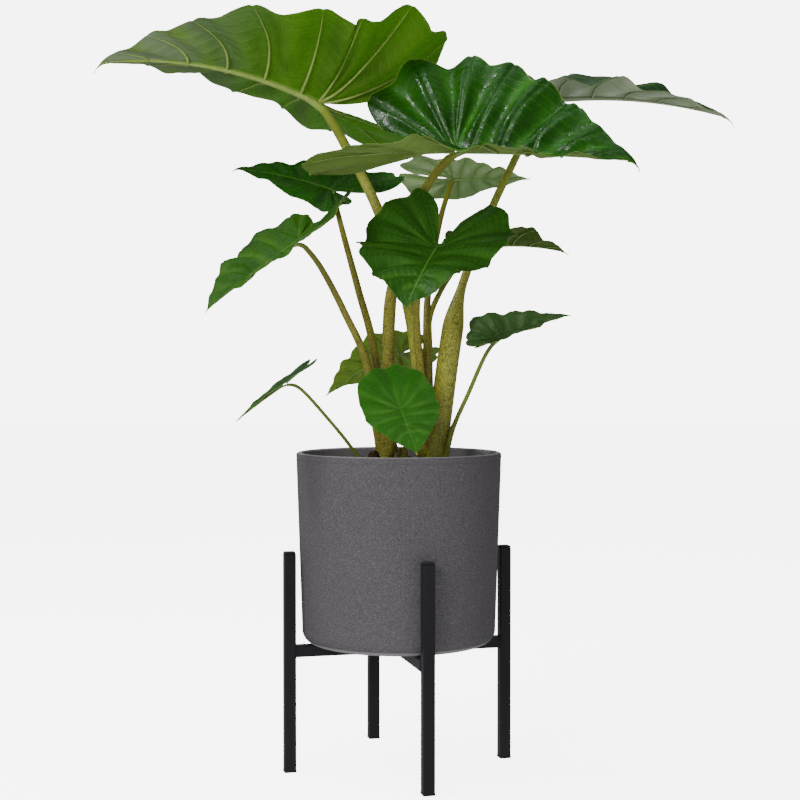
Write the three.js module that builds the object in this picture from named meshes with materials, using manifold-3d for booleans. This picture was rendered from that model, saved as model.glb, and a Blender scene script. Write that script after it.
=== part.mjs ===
// Potted upright elephant ear: two leafy shoots in a cylinder pot on a black four-legged stand.
// Millimetres, +Z up. The stand's legs stand on the X and Y axes until the last line, which
// shifts the whole plant so that the middle of its bounding box lies over the origin.
import * as THREE from "three";
import Module from "manifold-3d";
import { mergeVertices } from "three/addons/utils/BufferGeometryUtils.js";

const wasm = await Module();
wasm.setup();

// Stand
const tubeSide = 16;
const tubeWall = 1.2;
const tubeCorner = 1.8;
const legHeight = 300;
const legRadius = 153;
const plugFlange = 3;
const plugDepth = 14;
const plugGap = 0.3;
const footSide = 17;
const footEdge = 0.6;
const capEdge = 1.2;
const barBottom = 156.5;

// Pot
const potBottom = barBottom + tubeSide;
const potHeight = 261;
const rimRadius = 141.3;
const footRadius = 133.2;
const footCorner = 17;
const innerCorner = 12;
const rimEdge = 3.6;
const potWall = 8;
const potSides = 36;
const footSteps = 4;
const edgeSteps = 2;

// Soil
const soilBelowRim = 17;
const soilTop = potBottom + potHeight - soilBelowRim;
const soilGap = 0.3;
const soilCorner = 4;
const soilSlack = 1.2;
const soilRings = 5;
const ripple = { high: 1.2, alongX: 0.11, alongY: 0.13, start: 1.3 };

// Shoots
const cormDepth = 60;
const cormSides = 14;
const cormEnd = { share: 0.7, corner: 4, round: 14 };
const collarHeight = 4;
const dome = [[0.86, 0.7], [0.5, 0.93], [0, 1]];
const holeGap = 0.35;
const stalkSides = 8;
const stepsPerSpan = 3;
const routeTension = 0.5;
const stalkStart = soilTop + 10;

// Blades: what all of them share
const bladeThickness = 0.8;
const seatGap = 0.45;
const seatWide = 60;
const seatHigh = 40;
const basalVeins = 3;
const frontVeins = 6;
const basalShare = 0.36;
const notchAngle = 168;
const lobeSpread = 35;
const lobeInner = 0.66;
const lobeRounding = 0.8;
const lobeShare = 0.61;
const veinCrowding = 1.6;
const veinBow = 0.2;
const bodyShare = 0.97;
const tipTaper = 1.45;
const sideFullness = 1.15;
const dripTip = { wide: 0.6, flare: 12 };
const scallop = 0.04;
const waveShare = 0.018;
const waveRise = 1.6;
const fewestWaves = 3;
const lengthPerWave = 100;
const ribShare = 0.012;
const flatShare = 0.5;
const goldenShare = 0.618;
const bendSteps = 40;
const longLeaf = 250;
const acrossSteps = 3;

const material = (color, roughness, metalness = 0) =>
  new THREE.MeshStandardMaterial({ color, roughness, metalness });
const blackCoat = material(0x202024, 0.5, 0.2);
const blackPlastic = material(0x141416, 0.6);
const potClay = material(0x646062, 0.75);
const pottingSoil = material(0x33261c, 0.95);
const stalkGreen = material(0x7a8034, 0.5);
const leafGreen = material(0x2c5f10, 0.35);

const plant = new THREE.Group();

const radians = (degrees) => (degrees * Math.PI) / 180;

function addPiece(name, geometry, finish) {
  const mesh = new THREE.Mesh(geometry, finish);
  mesh.name = name;
  plant.add(mesh);
  return mesh;
}

// Closed meshes to solids and back, for joining and cutting
function solid(geometry) {
  const bare = new THREE.BufferGeometry();
  bare.setAttribute("position", geometry.getAttribute("position").clone());
  if (geometry.index) bare.setIndex(geometry.index.clone());
  const merged = mergeVertices(bare, 1e-4);
  const corners = [];
  for (let i = 0; i < merged.index.count; i += 3) {
    const [a, b, c] = [0, 1, 2].map((k) => merged.index.getX(i + k));
    if (a !== b && b !== c && c !== a) corners.push(a, b, c);
  }
  return new wasm.Manifold(new wasm.Mesh({
    numProp: 3,
    vertProperties: new Float32Array(merged.getAttribute("position").array),
    triVerts: new Uint32Array(corners),
  }));
}

function shell(body) {
  const mesh = body.getMesh();
  const geometry = new THREE.BufferGeometry();
  geometry.setAttribute("position", new THREE.BufferAttribute(mesh.vertProperties, 3));
  geometry.setIndex(new THREE.BufferAttribute(mesh.triVerts, 1));
  geometry.computeVertexNormals();
  return geometry;
}

const joined = (bodies) => bodies.reduce((whole, body) => whole.add(body));

// Square tube, its plugs and the three bars
function roundedSquare(side, corner, Outline = THREE.Shape) {
  const half = side / 2 - corner;
  const outline = new Outline();
  outline.absarc(half, half, corner, 0, Math.PI / 2);
  outline.absarc(-half, half, corner, Math.PI / 2, Math.PI);
  outline.absarc(-half, -half, corner, Math.PI, 1.5 * Math.PI);
  outline.absarc(half, -half, corner, 1.5 * Math.PI, 2 * Math.PI);
  return outline;
}

function squareTube(length) {
  const ring = roundedSquare(tubeSide, tubeCorner);
  ring.holes.push(roundedSquare(tubeSide - 2 * tubeWall, tubeCorner - tubeWall, THREE.Path));
  return new THREE.ExtrudeGeometry(ring, { depth: length, bevelEnabled: false, curveSegments: 1 });
}

function plug(flangeSide, edge) {
  const flange = new THREE.ExtrudeGeometry(roundedSquare(flangeSide - 2 * edge, tubeCorner), {
    depth: plugFlange - 2 * edge,
    bevelThickness: edge,
    bevelSize: edge,
    bevelSegments: 1,
    curveSegments: 1,
  });
  flange.translate(0, 0, edge);
  const insertSide = tubeSide - 2 * tubeWall - 2 * plugGap;
  const insert = new THREE.BoxGeometry(insertSide, insertSide, plugDepth + plugFlange / 2);
  insert.translate(0, 0, 0.75 * plugFlange + plugDepth / 2);
  return shell(solid(flange).add(solid(insert)));
}

const legPlaces = { left: [-1, 0], right: [1, 0], front: [0, -1], back: [0, 1] };
for (const [side, [alongX, alongY]] of Object.entries(legPlaces)) {
  const [x, y] = [alongX * legRadius, alongY * legRadius];
  const leg = squareTube(legHeight - 2 * plugFlange);
  addPiece(`leg_${side}`, leg, blackCoat).position.set(x, y, plugFlange);
  addPiece(`foot_${side}`, plug(footSide, footEdge), blackPlastic).position.set(x, y, 0);
  const cap = addPiece(`cap_${side}`, plug(tubeSide, capEdge), blackPlastic);
  cap.rotation.x = Math.PI;
  cap.position.set(x, y, legHeight);
}

const legInnerFace = legRadius - tubeSide / 2;
const barMiddle = barBottom + tubeSide / 2;
const longBar = squareTube(2 * legInnerFace);
longBar.rotateY(Math.PI / 2);
longBar.translate(-legInnerFace, 0, barMiddle);
addPiece("crossbar_long", longBar, blackCoat);
for (const [side, start] of [["front", -legInnerFace], ["back", tubeSide / 2]]) {
  const shortBar = squareTube(legInnerFace - tubeSide / 2);
  shortBar.rotateX(-Math.PI / 2);
  shortBar.translate(0, start, barMiddle);
  addPiece(`crossbar_${side}`, shortBar, blackCoat);
}

// Pot: one wall and floor turned round the axis
function arcPoints(centreX, centreY, radius, from, to, steps) {
  const points = [];
  for (let i = 0; i <= steps; i += 1) {
    const angle = radians(from + ((to - from) * i) / steps);
    const x = centreX + radius * Math.cos(angle);
    points.push(new THREE.Vector2(x, centreY + radius * Math.sin(angle)));
  }
  return points;
}

const innerRim = rimRadius - potWall;
const innerFoot = footRadius - potWall;
const potProfile = [
  new THREE.Vector2(0, 0),
  ...arcPoints(footRadius - footCorner, footCorner, footCorner, -90, 0, footSteps),
  ...arcPoints(rimRadius - rimEdge, potHeight - rimEdge, rimEdge, 0, 90, edgeSteps),
  ...arcPoints(innerRim + rimEdge, potHeight - rimEdge, rimEdge, 90, 180, edgeSteps),
  ...arcPoints(innerFoot - innerCorner, potWall + innerCorner, innerCorner, 0, -90, edgeSteps),
  new THREE.Vector2(0, potWall),
];
const pot = new THREE.LatheGeometry(potProfile, potSides);
pot.rotateX(Math.PI / 2);
pot.translate(0, 0, potBottom);
addPiece("pot", pot, potClay);

// Leaves. Lengths and places are in steps of 5 and angles in steps of 5 degrees, as read off the
// plant. Pairs are [left, right], seen from the leaf's stalk towards its tip with the upper side
// up. The joint is where the stalk meets the blade. Heading, pitch and roll turn the blade there,
// droop bends the midrib down, fold lifts a half at the midrib, curl bends it down again, and back
// lifts the lobe behind the stalk. A higher taper keeps the blade wide nearer the tip. Notch is the
// angle from the tip round to the edge of the notch between the lobes, and inner is how far they
// reach there. The stalk runs from its foot at the soil through the via places, and thick holds its
// radius at the foot and at the joint. A sheath thickens its lower share.
const leaves = {
  top_left: {
    joint: [-85, 135, 935], heading: 175, pitch: 25, length: 335, width: 155, fold: [40, 0],
    curl: [5, 5], droop: 35, back: [50, 20], lobe: [230, 205],
    foot: [35, -15], via: [[15, -10, 615], [-15, 35, 755], [-55, 100, 870]], thick: [9, 6.2],
  },
  glossy: {
    joint: [50, -105, 835], heading: -45, pitch: -5, roll: 30, length: 265, width: 155,
    lobe: [190, 195], fold: [30, 25], curl: [5, -5], droop: 5, back: [5, -25],
    foot: [-15, 0], via: [[-15, -5, 615], [-5, -20, 695], [20, -55, 785]], thick: [7, 5.6],
    sheath: [0.45, 2],
  },
  top_right: {
    joint: [225, 40, 935], heading: -20, pitch: 5, length: 280, width: 110, lobe: [145, 130],
    fold: [35, 10], droop: 25, back: [0, -10],
    foot: [50, -10], via: [[70, -10, 575], [90, 0, 660], [135, 15, 765], [180, 30, 850]],
    thick: [7, 5], sheath: [0.42, 8.5],
  },
  middle: {
    joint: [20, -120, 705], heading: -130, pitch: -35, roll: -5, length: 125, width: 105,
    lobe: [100, 105], back: [5, 40], wave: 7, taper: 1.8,
    foot: [40, -20], via: [[20, -30, 575], [10, -60, 640], [10, -100, 680]], thick: [6, 3.8],
  },
  pale: {
    joint: [105, 95, 825], heading: -10, pitch: 0, roll: -20, length: 115, width: 65,
    lobe: [90, 90], fold: [5, 5], droop: 0, back: [25, 0],
    foot: [45, -5], via: [[40, 0, 575], [55, 45, 665], [80, 75, 760]], thick: [6, 3.6],
  },
  back_left: {
    joint: [-70, 115, 805], heading: 160, pitch: 20, roll: -20, length: 155, width: 65,
    lobe: [40, 110], fold: [-5, 25], back: [0, 20],
    foot: [-20, 10], via: [[-30, 20, 570], [-45, 55, 660], [-60, 85, 740]], thick: [6.5, 3.6],
  },
  low_left: {
    joint: [-145, -30, 720], heading: 180, pitch: -35, roll: -15, length: 160, width: 100,
    lobe: [105, 45], fold: [15, 25], curl: [0, 40], droop: 5, back: [20, -20], taper: 2.2,
    foot: [-25, 0], via: [[-45, -5, 550], [-80, -15, 625], [-115, -25, 685]], thick: [6.5, 3.3],
  },
  back_right: {
    joint: [135, 100, 725], heading: -5, pitch: 10, length: 150, width: 85, lobe: [60, 60],
    fold: [25, 25], curl: [25, 10], droop: 25, wave: 6,
    foot: [45, -5], via: [[45, 5, 575], [50, 20, 620], [75, 50, 660], [105, 75, 695]],
    thick: [5, 3],
  },
  low_right: {
    joint: [125, -55, 590], heading: -5, pitch: 20, roll: 20, length: 110, width: 60,
    lobe: [45, 45], fold: [20, 20], curl: [10, 0], droop: 5, back: [-20, 0],
    foot: [60, -25], via: [[70, -25, 465], [90, -35, 515], [110, -45, 565]], thick: [3.2, 2.2],
    sheath: [0.35, 1],
  },
  small_left: {
    joint: [-165, -45, 530], heading: 180, pitch: -35, length: 85, width: 30, lobe: [55, 55],
    droop: 5, root: 36,
    foot: [-60, -20], via: [[-75, -25, 445], [-110, -35, 485], [-145, -50, 520]],
    thick: [2, 1.8], sheath: [0.25, 1.5],
  },
  small_front: {
    joint: [-25, -110, 495], heading: -60, pitch: -60, roll: 20, length: 65, width: 55,
    lobe: [65, 65], fold: [10, 10], droop: 10, taper: 1.8, inner: 0.95, notch: 177,
    foot: [-25, 0], via: [[-40, -10, 490], [-45, -50, 515]], thick: [4.5, 2.2],
  },
  behind_stalks: {
    joint: [30, 115, 570], heading: 150, pitch: -15, roll: 15, length: 130, width: 80,
    lobe: [60, 60], fold: [15, 5], curl: [15, 30], droop: 30,
    foot: [15, 20], via: [[25, 60, 505]], thick: [3.4, 2.4],
  },
  tiny: {
    joint: [-10, 45, 475], heading: 190, pitch: -65, length: 40, width: 15, lobe: [15, 15],
    foot: [5, 25], via: [[0, 35, 455]], thick: [2.4, 1.6],
  },
};

const usual = { roll: 0, droop: 15, fold: [15, 15], curl: [15, 15], back: [0, 0], sheath: [0, 0] };
Object.entries(leaves).forEach(([name, values], number) => {
  leaves[name] = {
    ...usual,
    lobe: [lobeShare * values.length, lobeShare * values.length],
    wave: waveShare * values.length,
    waves: fewestWaves + Math.round(values.length / lengthPerWave),
    rib: ribShare * values.length,
    taper: tipTaper,
    inner: lobeInner,
    notch: notchAngle,
    phase: [(2 * number * goldenShare) % 1, ((2 * number + 1) * goldenShare) % 1],
    ...values,
  };
});

const clamp = (value, low, high) => Math.min(high, Math.max(low, value));

// A line that bends as it goes: directions from a rule, places by adding up short steps
function bentLine(length, directionAt) {
  const places = [new THREE.Vector3()];
  for (let i = 1; i <= bendSteps; i += 1) {
    const step = directionAt((i - 1) / bendSteps).add(directionAt(i / bendSteps));
    places.push(places[i - 1].clone().addScaledVector(step, length / bendSteps / 2));
  }
  return (distance) => {
    const t = clamp(distance / length, 0, 1) * bendSteps;
    const i = Math.min(Math.floor(t), bendSteps - 1);
    return places[i].clone().lerp(places[i + 1], t - i);
  };
}

function midribDirection(leaf, share) {
  const drop = radians(-leaf.droop * share);
  return new THREE.Vector3(Math.cos(drop), 0, Math.sin(drop));
}

function lobeDirection(leaf, k, share) {
  const lift = radians(leaf.back[k]) * Math.sqrt(share);
  return new THREE.Vector3(-Math.cos(lift), 0, Math.sin(lift));
}

// Where the margin lies in the flat blade, for u from 0 at the notch to 1 at the tip
function flatMargin(leaf, k, u) {
  const lobe = leaf.lobe[k];
  const vein = u < basalShare
    ? (basalVeins * u) / basalShare
    : basalVeins + (frontVeins * (u - basalShare)) / (1 - basalShare);
  const bulge = 1 + scallop * Math.cos(2 * Math.PI * (vein - 0.5));
  if (u < basalShare) {
    const angle = leaf.notch + ((90 - leaf.notch) * u) / basalShare;
    const axis = 180 - lobeSpread;
    let reach = lobe;
    if (angle > axis) {
      const share = (leaf.notch - angle) / (leaf.notch - axis);
      reach *= leaf.inner + (1 - leaf.inner) * Math.sin((share * Math.PI) / 2) ** lobeRounding;
    } else {
      const share = (axis - angle) / (axis - 90);
      reach = leaf.width + (lobe - leaf.width) * (0.5 + 0.5 * Math.cos(share * Math.PI));
    }
    const along = reach * Math.cos(radians(angle)) * bulge;
    return { start: 0, along, across: reach * Math.sin(radians(angle)) * bulge, vein, forward: 0 };
  }
  const forward = (u - basalShare) / (1 - basalShare);
  const along = leaf.length * (1 - (1 - forward) ** veinCrowding);
  const body = 1 - Math.min(1, along / (bodyShare * leaf.length)) ** leaf.taper;
  const tail = dripTip.wide + dripTip.flare * (1 - along / leaf.length);
  const across = Math.max(leaf.width * body ** sideFullness * bulge, Math.min(tail, leaf.width));
  return { start: leaf.length * forward, along, across, vein, forward };
}

function bladePoint(leaf, lines, k, u, w) {
  const side = k === 0 ? 1 : -1;
  const margin = flatMargin(leaf, k, u);
  const bow = veinBow * leaf.length * w * (1 - w) * Math.sin(Math.PI * margin.forward);
  const x = margin.start + (margin.along - margin.start) * w - bow;
  const share = clamp(x / leaf.length, 0, 1);
  const left = new THREE.Vector3(0, 1, 0);
  const behind = clamp(-x / leaf.lobe[k], 0, 1);
  const place = x >= 0 ? lines.midrib(x) : lines.lobes[k](-x);
  const forward = x >= 0 ? midribDirection(leaf, share) : lobeDirection(leaf, k, behind).negate();
  const up = forward.clone().cross(left);
  const fold = radians(leaf.fold[k]);
  const curl = radians(leaf.curl[k]) || 1e-4;
  const slope = fold - (curl * margin.across * w) / leaf.width;
  const across = (leaf.width * (Math.sin(fold) - Math.sin(slope))) / curl;
  const rise = (leaf.width * (Math.cos(slope) - Math.cos(fold))) / curl;
  place.addScaledVector(left, side * across).addScaledVector(up, rise);
  const size = Math.min(1, margin.across / (flatShare * leaf.width));
  const turns = leaf.waves * u + leaf.phase[k];
  const wave = w ** waveRise * leaf.wave * Math.sin(2 * Math.PI * turns);
  const swell = 0.5 * Math.sin(Math.PI * w) + w * w;
  const rib = leaf.rib * swell * Math.cos(2 * Math.PI * (margin.vein - 0.5));
  const normal = up.multiplyScalar(Math.cos(slope)).addScaledVector(left, -side * Math.sin(slope));
  return place.addScaledVector(normal, size * (wave + rib));
}

function bladeTurn(leaf) {
  const heading = radians(leaf.heading);
  const pitch = radians(leaf.pitch);
  const level = new THREE.Vector3(Math.cos(heading), Math.sin(heading), 0);
  const forward = level.clone().multiplyScalar(Math.cos(pitch));
  forward.z = Math.sin(pitch);
  const left = new THREE.Vector3(-level.y, level.x, 0).applyAxisAngle(forward, radians(leaf.roll));
  const up = forward.clone().cross(left);
  return new THREE.Matrix4().makeBasis(forward, left, up).setPosition(...leaf.joint);
}

// Both faces have the same triangles, so that a waved blade stays one thin closed solid
function bladeSolid(leaf, thickness) {
  const alongSteps = (basalVeins + frontVeins) * (leaf.length > longLeaf ? 3 : 2);
  const lines = {
    midrib: bentLine(leaf.length, (share) => midribDirection(leaf, share)),
    lobes: [0, 1].map((k) => bentLine(leaf.lobe[k], (share) => lobeDirection(leaf, k, share))),
  };
  const turn = bladeTurn(leaf);
  const spots = [];
  const numbers = [new Map(), new Map()];
  const basalSteps = Math.round(alongSteps * (basalVeins / (basalVeins + frontVeins)));
  const station = (i) => (i < basalSteps
    ? (basalShare * i) / basalSteps
    : basalShare + ((1 - basalShare) * (i - basalSteps)) / (alongSteps - basalSteps));
  const numberOf = (k, i, j) => {
    const shared = j === 0;
    const key = shared ? `${Math.max(i - basalSteps, 0)}` : `${i},${j}`;
    const known = numbers[shared ? 0 : k];
    if (!known.has(key)) {
      known.set(key, spots.length);
      spots.push(bladePoint(leaf, lines, k, station(i), j / acrossSteps).applyMatrix4(turn));
    }
    return known.get(key);
  };
  const faces = [];
  const addFace = (a, b, c) => {
    if (a !== b && b !== c && c !== a) faces.push([a, b, c]);
  };
  for (const k of [0, 1]) {
    for (let i = 0; i < alongSteps; i += 1) {
      for (let j = 0; j < acrossSteps; j += 1) {
        const corners = [[i, j], [i + 1, j], [i + 1, j + 1], [i, j + 1]];
        const [a, b, c, d] = corners.map(([p, q]) => numberOf(k, p, q));
        const pair = (i + j) % 2 === 0 ? [[a, b, c], [a, c, d]] : [[a, b, d], [b, c, d]];
        for (const face of pair) addFace(...(k === 0 ? face : face.reverse()));
      }
    }
  }
  const normals = spots.map(() => new THREE.Vector3());
  for (const [a, b, c] of faces) {
    const ab = spots[b].clone().sub(spots[a]);
    const normal = ab.cross(spots[c].clone().sub(spots[a]));
    for (const corner of [a, b, c]) normals[corner].add(normal);
  }
  const positions = [];
  for (const half of [thickness / 2, -thickness / 2]) {
    spots.forEach((spot, i) => {
      positions.push(...spot.clone().addScaledVector(normals[i].normalize(), half));
    });
  }
  const lower = spots.length;
  const index = [];
  const edges = new Map();
  for (const [a, b, c] of faces) {
    index.push(a, b, c, lower + a, lower + c, lower + b);
    for (const [from, to] of [[a, b], [b, c], [c, a]]) edges.set(`${from},${to}`, [from, to]);
  }
  for (const [from, to] of edges.values()) {
    if (!edges.has(`${to},${from}`)) index.push(from, lower + from, to, to, lower + from, lower + to);
  }
  const geometry = new THREE.BufferGeometry();
  geometry.setAttribute("position", new THREE.Float32BufferAttribute(positions, 3));
  geometry.setIndex(index);
  return geometry;
}

// A stalk tapers from foot to joint, and is cut back to a small gap below its own blade
function stalkRadius(leaf, share) {
  const [from, to] = leaf.thick;
  const [sheathShare, sheathThick] = leaf.sheath;
  const inSheath = 1 - THREE.MathUtils.smoothstep(share, 0.6 * sheathShare, sheathShare);
  return from + (to - from) * share + (sheathShare > 0 ? sheathThick * inSheath : 0);
}

function stalkRoute(leaf, grow) {
  const [x, y] = leaf.foot;
  const rooted = [[x, y, soilTop - leaf.root - grow], [x, y, soilTop + collarHeight]];
  const start = leaf.root ? rooted : [[x, y, stalkStart]];
  return [...start, ...leaf.via, leaf.joint].map((place) => new THREE.Vector3(...place));
}

function sweep(leaf, grow) {
  const route = stalkRoute(leaf, grow);
  const curve = new THREE.CatmullRomCurve3(route, false, "catmullrom", routeTension);
  const steps = stepsPerSpan * (route.length - 1);
  const frames = curve.computeFrenetFrames(steps, false);
  const positions = [];
  for (let i = 0; i <= steps; i += 1) {
    const centre = curve.getPoint(i / steps);
    const radius = stalkRadius(leaf, i / steps) + grow;
    for (let j = 0; j < stalkSides; j += 1) {
      const angle = (2 * Math.PI * j) / stalkSides;
      const spoke = frames.normals[i].clone().multiplyScalar(radius * Math.cos(angle));
      spoke.addScaledVector(frames.binormals[i], radius * Math.sin(angle));
      positions.push(...spoke.add(centre));
    }
  }
  const foot = positions.length / 3;
  positions.push(...curve.getPoint(0), ...curve.getPoint(1));
  const index = [];
  for (let j = 0; j < stalkSides; j += 1) {
    const next = (j + 1) % stalkSides;
    for (let i = 0; i < steps; i += 1) {
      const [here, above] = [i * stalkSides, (i + 1) * stalkSides];
      index.push(here + j, here + next, above + next, here + j, above + next, above + j);
    }
    const top = steps * stalkSides;
    index.push(foot, next, j, foot + 1, top + j, top + next);
  }
  const geometry = new THREE.BufferGeometry();
  geometry.setAttribute("position", new THREE.Float32BufferAttribute(positions, 3));
  geometry.setIndex(index);
  return solid(geometry);
}

function largest(body) {
  return body.decompose().sort((one, other) => other.volume() - one.volume())[0];
}

function stalkSolid(leaf, grow = 0) {
  const seat = new THREE.BoxGeometry(seatWide, seatWide, seatHigh);
  seat.translate(0, 0, seatHigh / 2 - bladeThickness / 2 - seatGap);
  seat.applyMatrix4(bladeTurn(leaf));
  const underBlade = solid(bladeSolid(leaf, bladeThickness + 2 * seatGap));
  return largest(sweep(leaf, grow).subtract(solid(seat)).subtract(underBlade));
}

// The thick base of a shoot, from the rounded end of its corm in the soil to a low dome
function shootBase(x, y, radius, height, grow = 0) {
  const wide = radius + grow;
  const profile = [
    new THREE.Vector2(0, -cormDepth - grow),
    new THREE.Vector2(wide * cormEnd.share, -cormDepth - grow + cormEnd.corner),
    new THREE.Vector2(wide, -cormDepth + cormEnd.round),
    new THREE.Vector2(wide, collarHeight),
    ...dome.map(([across, up]) => new THREE.Vector2(wide * across, height * up)),
  ];
  const base = new THREE.LatheGeometry(profile, cormSides);
  base.rotateX(Math.PI / 2);
  base.translate(x, y, soilTop);
  return solid(base);
}

const shoots = {
  shoot_left: {
    base: [-20, 3, 13, 60],
    carries: ["glossy", "back_left", "low_left", "small_front"],
  },
  shoot_right: {
    base: [47, -12, 18.5, 50],
    carries: ["top_right", "top_left", "middle", "pale", "back_right", "low_right"],
  },
  shoot_back: { base: [10, 22, 8.5, 22], carries: ["behind_stalks", "tiny"] },
  stalk_small_left: { carries: ["small_left"] },
};

function shootSolid(shoot, grow = 0) {
  const bodies = shoot.carries.map((name) => stalkSolid(leaves[name], grow));
  if (shoot.base) bodies.push(shootBase(...shoot.base, grow));
  return joined(bodies);
}

for (const [name, leaf] of Object.entries(leaves)) {
  addPiece(`blade_${name}`, bladeSolid(leaf, bladeThickness), leafGreen);
}
for (const [name, shoot] of Object.entries(shoots)) {
  addPiece(name, shell(shootSolid(shoot)), stalkGreen);
}

// Soil: fills the pot below a lumpy top, with a plain hole for each shoot
const clods = [
  { x: -56, y: -40, wide: 14, high: 5 },
  { x: -88, y: 20, wide: 18, high: 3 },
  { x: 30, y: -75, wide: 20, high: 3 },
  { x: 85, y: 30, wide: 16, high: 4 },
  { x: -20, y: 80, wide: 20, high: 4 },
];

function soilHeight(x, y) {
  const waviness = Math.sin(x * ripple.alongX + ripple.start) * Math.cos(y * ripple.alongY);
  return clods.reduce((height, clod) => {
    const distance = Math.hypot(x - clod.x, y - clod.y) / clod.wide;
    return height + clod.high * Math.exp(-distance * distance);
  }, ripple.high * waviness);
}

function soilSolid() {
  const widening = (innerRim - innerFoot) / potHeight;
  const innerAt = (z) => innerFoot + widening * (z - potBottom) - soilGap;
  const low = potBottom + potWall + soilGap;
  const topEdge = innerAt(soilTop) - soilSlack;
  const aboveCorner = low + innerCorner + soilCorner;
  const profile = [
    new THREE.Vector2(0, low),
    new THREE.Vector2(innerFoot - innerCorner, low),
    new THREE.Vector2(innerAt(low) - soilCorner, low + soilCorner),
    new THREE.Vector2(innerAt(aboveCorner) - soilSlack, aboveCorner),
  ];
  for (let i = 0; i <= soilRings; i += 1) {
    profile.push(new THREE.Vector2(topEdge * (1 - i / soilRings), soilTop));
  }
  const geometry = new THREE.LatheGeometry(profile, potSides);
  geometry.rotateX(Math.PI / 2);
  const position = geometry.getAttribute("position");
  for (let i = 0; i < position.count; i += 1) {
    if (position.getZ(i) < soilTop - 1) continue;
    position.setZ(i, soilTop + soilHeight(position.getX(i), position.getY(i)));
  }
  return solid(geometry);
}

let soil = soilSolid();
for (const shoot of Object.values(shoots)) soil = soil.subtract(shootSolid(shoot, holeGap));
addPiece("soil", shell(soil), pottingSoil);

const box = new THREE.Box3().setFromObject(plant, true);
plant.position.set(-(box.min.x + box.max.x) / 2, -(box.min.y + box.max.y) / 2, 0);

export default plant;
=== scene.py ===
import math

import bpy
import numpy as np
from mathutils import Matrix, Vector


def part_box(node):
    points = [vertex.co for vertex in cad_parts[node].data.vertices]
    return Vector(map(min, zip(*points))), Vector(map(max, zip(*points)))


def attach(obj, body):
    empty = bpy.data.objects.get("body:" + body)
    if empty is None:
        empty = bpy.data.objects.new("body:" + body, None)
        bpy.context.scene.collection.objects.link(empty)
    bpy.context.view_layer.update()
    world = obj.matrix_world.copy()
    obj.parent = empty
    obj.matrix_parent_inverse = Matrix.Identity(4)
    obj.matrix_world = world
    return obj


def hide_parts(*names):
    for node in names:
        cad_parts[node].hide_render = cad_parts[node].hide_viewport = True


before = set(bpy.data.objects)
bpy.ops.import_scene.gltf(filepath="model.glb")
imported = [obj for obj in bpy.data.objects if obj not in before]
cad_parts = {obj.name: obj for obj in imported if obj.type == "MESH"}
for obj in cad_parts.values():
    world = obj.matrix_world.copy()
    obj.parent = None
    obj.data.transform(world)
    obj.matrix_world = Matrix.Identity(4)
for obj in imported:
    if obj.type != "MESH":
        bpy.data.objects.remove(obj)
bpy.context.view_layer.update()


def report(stage):
    print("stage:", stage)


def middleOf(node):
    low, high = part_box(node)
    return (np.array(low) + np.array(high)) / 2


standMiddle = np.array([
    (middleOf("leg_left")[0] + middleOf("leg_right")[0]) / 2,
    (middleOf("leg_front")[1] + middleOf("leg_back")[1]) / 2,
    0.0,
])


def inMetres(places):
    return np.asarray(places, float) * 0.001 + standMiddle


def paint(red, green, blue):
    # screen colour, 0 to 255, to the renderer's linear light
    parts = [value / 255 for value in (red, green, blue)]
    return tuple(v / 12.92 if v < 0.04 else ((v + 0.055) / 1.055) ** 2.4 for v in parts) + (1.0,)


# finishes
class Wire:
    # a socket that can be used in sums
    def __init__(self, finish, socket):
        self.finish = finish
        self.socket = socket

    def sum(self, operation, *others, clamp=False):
        settings = {"operation": operation, "use_clamp": clamp}
        return self.finish.node("Math", settings, dict(enumerate([self, *others])))

    def __add__(self, other):
        return self.sum("ADD", other)

    __radd__ = __add__

    def __sub__(self, other):
        return self.sum("SUBTRACT", other)

    def __rsub__(self, other):
        return self.finish.node("Math", {"operation": "SUBTRACT"}, {0: other, 1: self})

    def __mul__(self, other):
        return self.sum("MULTIPLY", other)

    __rmul__ = __mul__

    def __truediv__(self, other):
        return self.sum("DIVIDE", other)

    def __abs__(self):
        return self.sum("ABSOLUTE")

    def fraction(self):
        return self.sum("FRACT")

    def clamped(self):
        return self.sum("ADD", 0.0, clamp=True)

    def between(self, low, high):
        # 0 at low, 1 at high, held outside
        return ((self - low) / (high - low)).clamped()


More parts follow.
